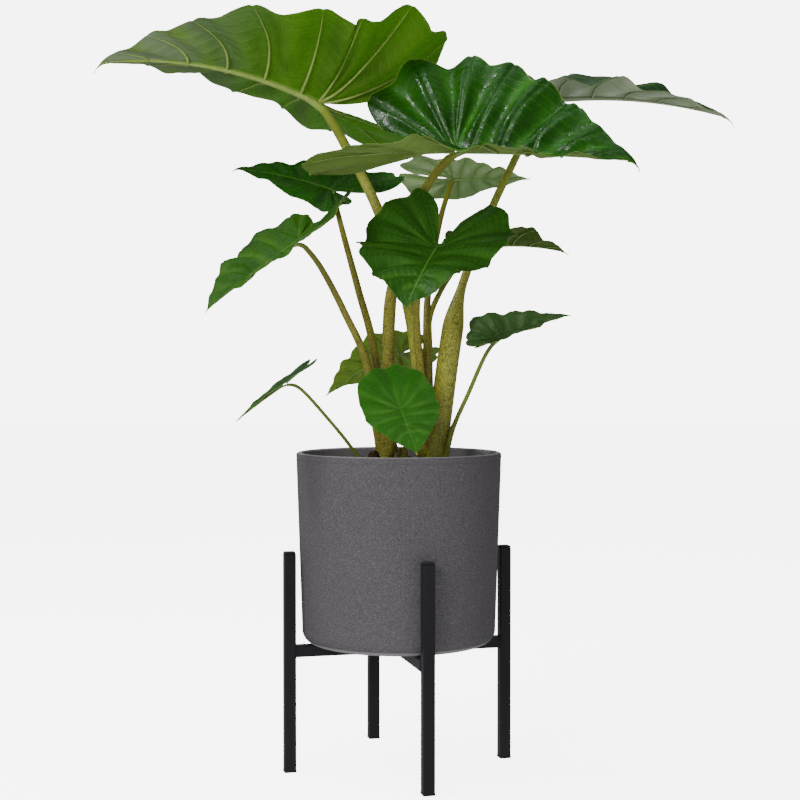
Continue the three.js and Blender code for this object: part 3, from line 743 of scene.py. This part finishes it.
plainLook = {
    "upper": (36, 88, 18), "upperDeep": (24, 68, 14), "upperLight": (56, 108, 26),
    "upperVein": (88, 134, 50), "under": (84, 116, 48), "underDeep": (66, 98, 34),
    "underLight": (104, 134, 66), "underVein": (132, 158, 84), "edge": (104, 128, 52),
    "through": (110, 170, 20), "shine": 0.2, "rough": 0.36, "clear": 0.2, "lively": 1.0,
    "veins": 0.6, "pucker": 0.5, "patchy": 0.08,
}
looks = {
    "top_left": {
        "under": (74, 110, 24), "underDeep": (50, 86, 16), "underLight": (98, 132, 40),
        "underVein": (150, 172, 84), "through": (140, 196, 24), "clear": 0.32,
        # tip is a grey painted sheen on the underside towards the tip
        "tip": (112, 126, 106), "upper": (34, 92, 14), "lively": 1.8, "pucker": 1.6,
    },
    "glossy": {
        "upper": (6, 54, 0), "upperDeep": (2, 38, 0), "upperLight": (32, 92, 0),
        "upperVein": (66, 116, 20), "shine": 0.24, "rough": 0.23, "clear": 0.1, "pucker": 2.2,
        "under": (112, 138, 60), "underDeep": (92, 118, 44), "underLight": (136, 160, 84),
        "lively": 2.2, "veins": 0.5, "patchy": 0.3,
    },
    "top_right": {
        "under": (156, 170, 140), "underDeep": (122, 138, 106), "underLight": (192, 204, 182),
        "underVein": (148, 158, 124), "upper": (24, 48, 24), "upperDeep": (20, 40, 20),
        "upperLight": (40, 66, 38), "clear": 0.12,
    },
    "middle": {
        "upper": (34, 78, 16), "upperDeep": (22, 60, 16), "upperLight": (60, 106, 32),
        "lively": 2.2, "veins": 0.45, "pucker": 1.4,
    },
    "pale": {
        "under": (172, 202, 142), "underDeep": (140, 176, 106), "underLight": (200, 222, 172),
        "underVein": (128, 166, 92), "through": (150, 190, 80),
    },
    "back_left": {
        "upper": (22, 74, 14), "upperDeep": (16, 58, 14), "upperLight": (52, 84, 44), "veins": 0.35,
    },
    "low_left": {
        "upper": (36, 78, 10), "upperDeep": (24, 62, 6), "upperLight": (60, 98, 24),
        "upperVein": (76, 112, 40), "shine": 0.12, "rough": 0.5, "veins": 0.12,
        "under": (108, 138, 80), "underLight": (128, 154, 98), "lively": 1.6,
    },
    "back_right": {
        "under": (78, 104, 34), "underDeep": (60, 86, 24), "underLight": (100, 126, 52),
        "upper": (56, 100, 34),
    },
    "low_right": {
        "upper": (64, 98, 50), "upperDeep": (44, 80, 38), "upperLight": (100, 130, 80),
        "under": (104, 132, 76), "lively": 1.8, "veins": 0.3,
    },
    "small_left": {"upper": (36, 82, 20), "lively": 0.3, "veins": 0.1},
    "small_front": {
        "upper": (42, 106, 22), "upperDeep": (30, 88, 16), "upperLight": (72, 130, 40),
        "rough": 0.3, "lively": 1.6, "pucker": 1.4, "shine": 0.35,
        "tipSpot": (210, 160, 40),
    },
    "behind_stalks": {
        # these colours are raised as painted light, making up for the shade this leaf sits in under the
        # other leaves
        "upper": (96, 130, 44), "upperDeep": (78, 112, 34), "upperLight": (116, 148, 60),
        "upperVein": (126, 152, 72), "under": (138, 162, 76), "underDeep": (118, 144, 60),
        "underLight": (154, 178, 96), "through": (190, 225, 100), "clear": 0.38, "veins": 0.3,
    },
    "tiny": {"upper": (62, 106, 24), "edge": (170, 160, 50)},
}


# pairs are a fixed part, and a part that grows with the leaf
reliefSize = {
    "fullLength": 300, "fullWidth": 70, "creaseWide": (1.2, 2.2), "creaseDeep": (0.5, 1.1),
    "quiltStep": (4, 0.035), "quiltHigh": (0.25, 0.9), "uneven": 0.9, "pleat": 0.006, "seed": 40,
}
ribSize = {
    "spots": 22, "sides": 6, "from": 0.012, "to": 0.95, "radius": (0.3, 0.0055), "end": 0.25,
    "taper": 0.8, "tipVeins": 2, "tipShare": 0.7, "sunk": 0.78,
}


def sized(pair, size):
    return pair[0] + pair[1] * size


def reliefOf(leaf, vein, flat, spacing, reach, w):
    # creases along the side veins, quilted ground between them and a little unevenness
    rng = np.random.default_rng(reliefSize["seed"] + leaf["number"])
    veinOff = np.abs(vein % 1 - 0.5)
    scale = leaf["length"] / reliefSize["fullLength"]
    crease = np.exp(-(veinOff * spacing / sized(reliefSize["creaseWide"], scale)) ** 2)
    rows = w * reach / sized(reliefSize["quiltStep"], leaf["length"]) + veinOff * 1.5
    quilt = np.sin(math.pi * rows) ** 2
    quilt = quilt * smoothStep(0.05, 0.25, veinOff) * np.exp(-veinOff * 3)
    uneven = 0 * w
    for order in range(1, 6):
        a, b, c, d = rng.uniform(0, 2 * math.pi, 4)
        turn = np.sin(order * 1.9 * vein + a) * np.cos(order * 3.1 * w + b)
        uneven = uneven + (turn + 0.5 * np.sin(order * 2.7 * vein + 5 * w + c + d)) / order
    pleat = reliefSize["pleat"] * leaf["length"] * np.sin(math.pi * w) * np.cos(2 * math.pi * (vein - 0.5))
    grown = smoothStep(0.0, 0.15, w) * min(1.0, leaf["width"] / reliefSize["fullWidth"]) ** 2
    return flat * grown * leaf["lively"] * (
        pleat - sized(reliefSize["creaseDeep"], scale) * crease
        + sized(reliefSize["quiltHigh"], scale) * quilt + reliefSize["uneven"] * scale * uneven
    )


def surfaceMesh(leaf):
    veins = shared["basalVeins"] + shared["frontVeins"]
    perVein, columns = next(counts for longer, *counts in fineness if leaf["length"] > longer)
    rows = veins * perVein
    basalRows = shared["basalVeins"] * perVein
    basal = shared["basalShare"]
    u = np.concatenate([
        np.linspace(0, basal, basalRows + 1)[:-1],
        np.linspace(basal, 1, rows - basalRows + 1),
    ])
    w = np.linspace(0, 1, columns + 1) ** shared["crowdOut"]
    gridU, gridW = np.meshgrid(u, w, indexing="ij")
    count = gridU.size
    points, notes = [], []
    for k in (0, 1):
        place, grids = bladePoints(leaf, k, gridU, gridW)
        perVeinStep = np.gradient(place, axis=0) / np.gradient(grids["vein"], axis=0)[..., None]
        spacing = np.linalg.norm(perVeinStep, axis=-1)
        outward = np.linalg.norm(np.diff(place, axis=1), axis=-1)
        gone = np.concatenate([np.zeros((rows + 1, 1)), np.cumsum(outward, axis=1)], axis=1)
        reach = np.broadcast_to(gone[:, -1:], gone.shape)
        grids.update(spacing=spacing, reach=reach, across=gone / np.maximum(reach, 1e-6))
        grids["relief"] = reliefOf(leaf, grids["vein"], grids["flat"], spacing, reach, gridW)
        points.append(place.reshape(-1, 3))
        notes.append({key: value.ravel() for key, value in grids.items()})
    # the halves share the midrib, and all fan lines behind it start at the joint
    numbers = np.arange(2 * count).reshape(2, rows + 1, columns + 1)
    numbers[:, :basalRows + 1, 0] = numbers[0, basalRows, 0]
    numbers[1, basalRows:, 0] = numbers[0, basalRows:, 0]
    faces = []
    for k in (0, 1):
        n = numbers[k]
        quads = np.stack([n[:-1, :-1], n[1:, :-1], n[1:, 1:], n[:-1, 1:]], -1).reshape(-1, 4)
        faces.append(quads if k == 0 else quads[:, ::-1])
    faces = np.concatenate(faces)
    used, inverse = np.unique(faces, return_inverse=True)
    faces = inverse.reshape(faces.shape)
    every = np.concatenate(points)[used]
    note = {key: np.concatenate([notes[0][key], notes[1][key]])[used] for key in notes[0]}
    a, b, c, d = (every[faces[:, n]] for n in range(4))
    faceNormals = np.cross(c - a, d - b)
    normals = np.zeros_like(every)
    for n in range(4):
        np.add.at(normals, faces[:, n], faceNormals)
    normals = unit(normals)
    return every + normals * note.pop("relief")[:, None], normals, faces, note


def tidyFace(face):
    # a quad with two corners in one place becomes a triangle
    return tuple(corner for n, corner in enumerate(face) if corner != face[n - 1])


def surfaceAt(leaf, k, u, w):
    # place and normal at single spots, by short steps either way
    step = 1e-3
    points, grids = bladePoints(leaf, k, u, w)
    alongU = bladePoints(leaf, k, u + step, w)[0] - bladePoints(leaf, k, u - step, w)[0]
    alongW = bladePoints(leaf, k, u, w + step)[0] - bladePoints(leaf, k, u, w - step)[0]
    normal = unit(np.cross(alongU, alongW))
    return points, normal if k == 0 else -normal, grids


ribPaints = {}


def buildLeaf(leafName, leaf):
    look = {**plainLook, **looks[leafName], "size": leaf["length"], "seed": 3.7 * leaf["number"]}
    leaf["lively"] = look["lively"]
    points, normals, faces, note = surfaceMesh(leaf)
    half = shared["thick"] / 2
    count = len(points)
    upper = [tidyFace(face) for face in faces.tolist()]
    under = [tuple(count + corner for corner in reversed(face)) for face in upper]
    edges = {(face[n - 1], face[n]) for face in upper for n in range(len(face))}
    rim = [(b, a, count + a, count + b) for a, b in edges if (b, a) not in edges]
    both = np.concatenate([points + normals * half, points - normals * half])
    spots = {key: np.tile(value, 2) for key, value in note.items() if key != "flat"}
    leafMesh = Gathered()
    leafMesh.add(placed(leaf, both), upper + under + sorted(rim), 0, spots)
    leafMesh.kinds = [0] * len(upper) + [1] * (len(under) + len(rim))
    # raised side veins below
    basal, veins = shared["basalVeins"], shared["basalVeins"] + shared["frontVeins"]
    w = np.linspace(ribSize["from"], ribSize["to"], ribSize["spots"])
    for k in (0, 1):
        for vein in np.arange(veins) + 0.5:
            u = np.interp(vein, (0, basal, veins), (0, shared["basalShare"], 1))
            spot, up, grids = surfaceAt(leaf, k, np.full_like(w, u), w)
            thick = sized(ribSize["radius"], leaf["length"]) * (1 - w) ** ribSize["taper"] + ribSize["end"]
            thick = thick * (1 if vein < veins - ribSize["tipVeins"] else ribSize["tipShare"])
            relief = reliefOf(leaf, grids["vein"], grids["flat"], 1.0, 1.0, w)
            centre = spot + up * (relief - half - ribSize["sunk"] * thick)[:, None]
            tube = tubeMesh(placed(leaf, centre), thick, ribSize["sides"])
            leafMesh.add(*tube, 2, dict.fromkeys(spots, 0.0))
    ribPaints[leafName] = ribFinish(leafName + " ribs", look)
    finishes = [
        leafFinish(leafName + " upper side", look, True),
        leafFinish(leafName + " underside", look, False),
        ribPaints[leafName],
    ]
    leafMesh.piece("leaf_" + leafName, finishes, "blades", ["blade_" + leafName], sharp=70)


for leafName, leaf in leaves.items():
    buildLeaf(leafName, leaf)
report("leaves")


# stalks: mottled stalks that run on as midribs below their leaves
soilTop = 416.5
stalkLook = {
    "perSpan": 14, "sides": 18, "bend": 16, "bendShare": 0.15, "bendSpots": 14, "extra": 0.5,
    "ridge": 0.05, "ridgeAt": 1.2, "sheathEnd": 0.35, "stout": (2.2, 5.5),
    "ribEnd": 0.93, "ribSpots": 50, "ribTaper": 0.9, "ribTip": 0.1, "sunk": 0.86, "stalkShade": 0.6,
    # the stalks listed here get a darker, browner coat, a painted shade where the other leaves shade them
    "shadedStalks": (
        "glossy", "back_left", "low_left", "small_front", "middle", "pale", "behind_stalks", "tiny",
    ),
}
# the foot's outline as radius, in shares of the shoot's, and height, in shares above the soil
footSize = {
    "below": [(0, -60), (0.7, -56), (1, -46), (1, 4)],
    "above": [(0.96, 0.3), (0.86, 0.7), (0.5, 0.93), (0, 1)],
    "stretch": 2.5, "sides": 48, "scars": 0.035, "uneven": 0.03, "stalkHigh": 600,
}
shoots = {
    "shoot_left": {
        "base": (-20, 3, 13, 60), "carries": ("glossy", "back_left", "low_left", "small_front"),
    },
    "shoot_right": {
        "base": (47, -12, 18.5, 50),
        "carries": ("top_right", "top_left", "middle", "pale", "back_right", "low_right"),
    },
    "shoot_back": {"base": (10, 22, 8.5, 22), "carries": ("behind_stalks", "tiny")},
    "stalk_small_left": {"carries": ("small_left",)},
}


def stalkFinish():
    finish = Finish("mottled stalk", {"IOR": 1.45, "Specular IOR Level": 0.4})
    height = finish.attribute("height")  # 0 in the soil, 1 at the blade, 2 at the leaf's tip
    stout = finish.attribute("stout")  # 0 on thin stalks, which have few marks
    warp = finish.noise(220, 2)
    lean = (1 - stout) * (1 - height.between(0.96, 1.0))
    marks = finish.noise(760, 3, 0.6, (1, 1, 0.7))
    dashes = finish.cells(520, (0.8, 0.8, 1.2))
    patch = finish.noise(26, 3, 0.6, (1, 1, 0.5))
    spotted = (marks + dashes * 0.22).between(0.55, 0.61) * (1 - height.between(0.62, 0.98) * 0.8)
    dark = (warp - 0.2 + dashes * 0.2).between(0.42, 0.5) * finish.noise(60, 2).between(0.5, 0.6)
    dark = dark * (1 - height.between(0.3, 0.7))
    finish.link(Base_Color=finish.mix(
        (164, 168, 64), ((134, 144, 46), patch.between(0.35, 0.65)),
        ((112, 134, 44), height.between(0.45, 0.95) * 0.8), ((136, 162, 70), height.between(0.93, 1.0)),
        # the darker brown coat is painted shade on the stalks that the other leaves shade
        ((80, 98, 28), lean * 0.85), ((112, 106, 30), finish.attribute("stalkShade")),
        ((72, 54, 22), spotted * stout * 0.62), ((46, 32, 20), dark * stout * 0.45),
    ))
    finish.link(Roughness=0.42 + 0.15 * marks)
    streak = finish.noise(500, 2, 0.5, (1, 1, 0.12))
    finish.bump(streak * 0.5 + marks * 0.5, 0.0004, 0.5)
    return finish.close()


stalkPaint = stalkFinish()


def routePoints(stops, perSpan):
    stops = np.array(stops, float)
    ends = np.vstack([2 * stops[0] - stops[1], stops, 2 * stops[-1] - stops[-2]])
    t = (np.arange(perSpan) / perSpan)[:, None]
    spans = []
    for a, b, c, d in zip(ends, ends[1:], ends[2:], ends[3:]):
        slopeIn, slopeOut = (c - a) / 2, (d - b) / 2
        spans.append(
            (2 * t**3 - 3 * t**2 + 1) * b + (t**3 - 2 * t**2 + t) * slopeIn
            + (3 * t**2 - 2 * t**3) * c + (t**3 - t**2) * slopeOut)
    return np.concatenate(spans + [stops[-1:]])


def stalkRadius(leaf, share):
    start, end = leaf["stalk"]
    sheathShare, sheathThick = leaf["sheath"]
    radius = start + (end - start) * share
    if sheathShare:
        radius = radius + sheathThick * (1 - smoothStep(0.6 * sheathShare, sheathShare, share))
    return radius


def stalkShadeOf(leafName):
    return stalkLook["stalkShade"] if leafName in stalkLook["shadedStalks"] else 0.0


def buildStalk(leafName, shootName):
    leaf, look, sides = leaves[leafName], stalkLook, stalkLook["sides"]
    length, tipRadius = leaf["length"], leaf["stalk"][1]
    x, y = leaf["foot"]
    depths = (-leaf["root"], 4) if "root" in leaf else (10,)
    start = [(x, y, soilTop + depth) for depth in depths]
    route = routePoints([*start, *leaf["via"], leaf["joint"]], look["perSpan"])
    share = np.linspace(0, 1, len(route))
    radii = stalkRadius(leaf, share)
    # the midrib goes on below the blade
    x = np.linspace(0, length * look["ribEnd"], look["ribSpots"])[1:]
    ribX, ribZ = bentLine(length, lambda s: midribAngle(leaf, s), 1)(x)
    turned = np.radians(midribAngle(leaf, x / length))
    ribRadius = leaf["stout"] * tipRadius * (1 - x / length) ** look["ribTaper"] + look["ribTip"]
    below = look["sunk"] * ribRadius + shared["thick"] / 2
    rib = np.stack([ribX + np.sin(turned) * below, 0 * x, ribZ - np.cos(turned) * below], -1)
    rib = placed(leaf, rib)
    bend = min(look["bend"], length * look["bendShare"]) * leaf["stout"] + tipRadius
    corner = placed(leaf, np.array([[0, 0, -look["sunk"] * tipRadius]]))[0]
    keep = np.linalg.norm(route - route[-1], axis=1) > bend
    onward = x > bend
    t = np.linspace(0, 1, look["bendSpots"])[1:-1, None]
    curve = (1 - t) ** 2 * route[keep][-1] + 2 * t * (1 - t) * corner + t**2 * rib[onward][0]
    points = np.concatenate([route[keep], curve, rib[onward]])
    endRadius = radii[keep][-1] * (1 - t[:, 0]) + ribRadius[onward][0] * t[:, 0]
    turning = np.linspace(0.96, 1.04, len(t))
    height = np.concatenate([share[keep], turning, 1.05 + 0.95 * x[onward] / length])
    thick = np.concatenate([radii[keep], endRadius, ribRadius[onward]])
    thick = thick + look["extra"] * (1 - smoothStep(2, 4, thick)) * (height < 1)
    sheathEnd = leaf["sheath"][0] or look["sheathEnd"]

    def ridge(angle, i):
        # the sheath's two edges meet along one side, and flatten out above it
        away = np.abs((angle + look["ridgeAt"] + math.pi) % (2 * math.pi) - math.pi)
        fade = 1 - smoothStep(0.7 * sheathEnd, sheathEnd, height[i]) if height[i] < 1 else 0.0
        edges, groove = np.exp(-((away - 0.45) / 0.16) ** 2), np.exp(-(away / 0.2) ** 2)
        return look["ridge"] * fade * (1.6 * edges - groove)

    def everywhere(values):
        return np.concatenate([np.repeat(values, sides), values[:1], values[-1:]])

    vertices, faces = tubeMesh(points, thick, sides, ridge)
    stout = smoothStep(*look["stout"], everywhere(thick))
    spots = {"height": everywhere(height), "stout": stout, "stalkShade": stalkShadeOf(leafName)}
    # faces run up one strip after the other, each closed by its two end faces
    perStrip = len(points) + 1
    beyond = int(np.argmax(height >= 1.0))
    kinds = [1 if beyond <= n % perStrip < len(points) - 1 else 0 for n in range(len(faces))]
    paints = [stalkPaint, ribPaints[leafName]]
    makePiece("stalk_" + leafName, vertices, faces, paints, [shootName], spots, kinds)


def buildBase(shootName, x, y, radius, high):
    # leek-like foot of a shoot, with leaf scars round it
    profile = footSize["below"] + [(r, z * high) for r, z in footSize["above"]]
    profile = filled([(r * radius, z) for r, z in profile], footSize["stretch"])
    vertices, faces = lathe(profile, footSize["sides"])
    angle = np.arctan2(vertices[:, 1], vertices[:, 0])
    ring = footSize["scars"] * np.sin(vertices[:, 2] * 0.55 + 0.8 * np.sin(angle + 0.5)) ** 8
    uneven = footSize["uneven"] * np.sin(3 * angle + vertices[:, 2] * 0.06)
    vertices[:, :2] *= (1 - ring + uneven)[:, None]
    vertices = vertices + np.array([x, y, soilTop])
    height = np.clip((vertices[:, 2] - soilTop) / footSize["stalkHigh"], 0, 1)
    spots = {"height": height, "stout": 1, "stalkShade": stalkShadeOf(shoots[shootName]["carries"][0])}
    makePiece("foot_of_" + shootName, vertices, faces, [stalkPaint], [shootName], spots)


for shootName, shoot in shoots.items():
    for leafName in shoot["carries"]:
        buildStalk(leafName, shootName)
    if "base" in shoot:
        buildBase(shootName, *shoot["base"])
report("stalks")


# soil: dark crumbs over a lumpy body
soil = {
    "foot": 113, "shoulder": 121, "top": 131.0, "low": 181.0, "rings": 90, "sides": 240,
    "bumps": 26, "bumpHigh": 0.32, "crumbs": 900, "crumbReach": 126, "packed": (-56, -40, 12), "seed": 7,
    "clods": [(-56, -40, 14, 5), (-88, 20, 18, 3), (30, -75, 20, 3), (85, 30, 16, 4), (-20, 80, 20, 4)],
    "clodPlace": (-45, -45), "clodWide": 11, "clodHigh": 19, "clodCrumbs": 110,
}


def soilHeight(x, y):
    height = 1.2 * np.sin(x * 0.11 + 1.3) * np.cos(y * 0.13)
    for middleX, middleY, wide, high in soil["clods"]:
        height = height + high * np.exp(-((x - middleX) ** 2 + (y - middleY) ** 2) / wide**2)
    return height


def soilFinish():
    finish = Finish("dark potting soil", {"IOR": 1.4, "Specular IOR Level": 0.25})
    coarse, fine = finish.noise(90, 5, 0.7), finish.noise(700, 3)
    fibre = finish.noise(200, 3, 0.6, (1, 0.2, 1)).between(0.6, 0.7)
    finish.link(Base_Color=finish.mix(
        (28, 20, 15), ((66, 48, 34), coarse.between(0.35, 0.7)),
        ((18, 13, 10), fine.between(0.5, 0.8) * 0.7), ((104, 80, 56), fibre * 0.4),
    ))
    finish.link(Roughness=0.8 + 0.15 * fine)
    finish.bump(coarse + fine * 0.6, 0.0015, 0.9)
    return finish.close()


def buildSoil():
    rng = np.random.default_rng(soil["seed"])
    body = Gathered()
    low = soil["low"]
    profile = [(0, low), (soil["foot"], low), (soil["shoulder"], low + 5), (soil["top"], soilTop - 6)]
    rim = np.linspace(soil["top"], 0, soil["rings"] + 1)
    profile += [(radius, soilTop) for radius in rim]
    vertices, faces = lathe(np.array(profile), soil["sides"])
    top = vertices[:, 2] > soilTop - 1
    x, y = vertices[top, 0], vertices[top, 1]
    bumps = np.zeros_like(x)
    for order in range(soil["bumps"]):
        turn, pitch = rng.uniform(0, 2 * math.pi), rng.uniform(0.15, 1.1)
        wave = np.sin(pitch * (x * math.cos(turn) + y * math.sin(turn)) + rng.uniform(0, 6.3))
        bumps += soil["bumpHigh"] * wave / math.sqrt(pitch * 3)
    vertices[top, 2] += soilHeight(x, y) + bumps
    body.add(vertices, faces)
    # loose crumbs, packed closer round the clod that shows at the left
    for number in range(soil["crumbs"]):
        radius, turn = soil["crumbReach"] * math.sqrt(rng.uniform()), rng.uniform(0, 2 * math.pi)
        x, y = radius * math.cos(turn), radius * math.sin(turn)
        if number % 4 == 0:
            middleX, middleY, spread = soil["packed"]
            x, y = rng.normal(middleX, spread), rng.normal(middleY, spread)
        size = rng.uniform(0.9, 2.6) if number % 9 else rng.uniform(2.5, 4.5)
        crumb, crumbFaces = crumbMesh(rng, size)
        body.add(crumb + [x, y, soilTop + float(soilHeight(x, y)) + 0.3 * size], crumbFaces)
    # the clod that shows above the rim
    for number in range(soil["clodCrumbs"]):
        turn, out = rng.uniform(0, 2 * math.pi), math.sqrt(rng.uniform())
        lift = rng.uniform()
        reach = soil["clodWide"] * out * (1 - 0.6 * lift)
        middle = [reach * math.cos(turn), reach * math.sin(turn), soil["clodHigh"] * lift]
        crumb, crumbFaces = crumbMesh(rng, rng.uniform(2.0, 4.5))
        body.add(crumb + np.add(soil["clodPlace"] + (soilTop,), middle), crumbFaces)
    body.piece("soil_body", [soilFinish()], "potting_soil", ["soil"])


ratio = (1 + math.sqrt(5)) / 2  # of the twenty-sided crumbs
icoCorners = np.array([
    np.roll((near, far, 0), turn) for turn in range(3) for far in (ratio, -ratio) for near in (-1, 1)
]) / math.sqrt(1 + ratio**2)
icoFaces = [
    (0, 11, 5), (0, 5, 1), (0, 1, 7), (0, 7, 10), (0, 10, 11), (1, 5, 9), (5, 11, 4), (11, 10, 2),
    (10, 7, 6), (7, 1, 8), (3, 9, 4), (3, 4, 2), (3, 2, 6), (3, 6, 8), (3, 8, 9), (4, 9, 5),
    (2, 4, 11), (6, 2, 10), (8, 6, 7), (9, 8, 1),
]


def crumbMesh(rng, size):
    corners = icoCorners * rng.uniform(0.7, 1.25, (12, 1)) * size
    return corners * rng.uniform(0.6, 1.2, 3), icoFaces


buildSoil()
report("soil")
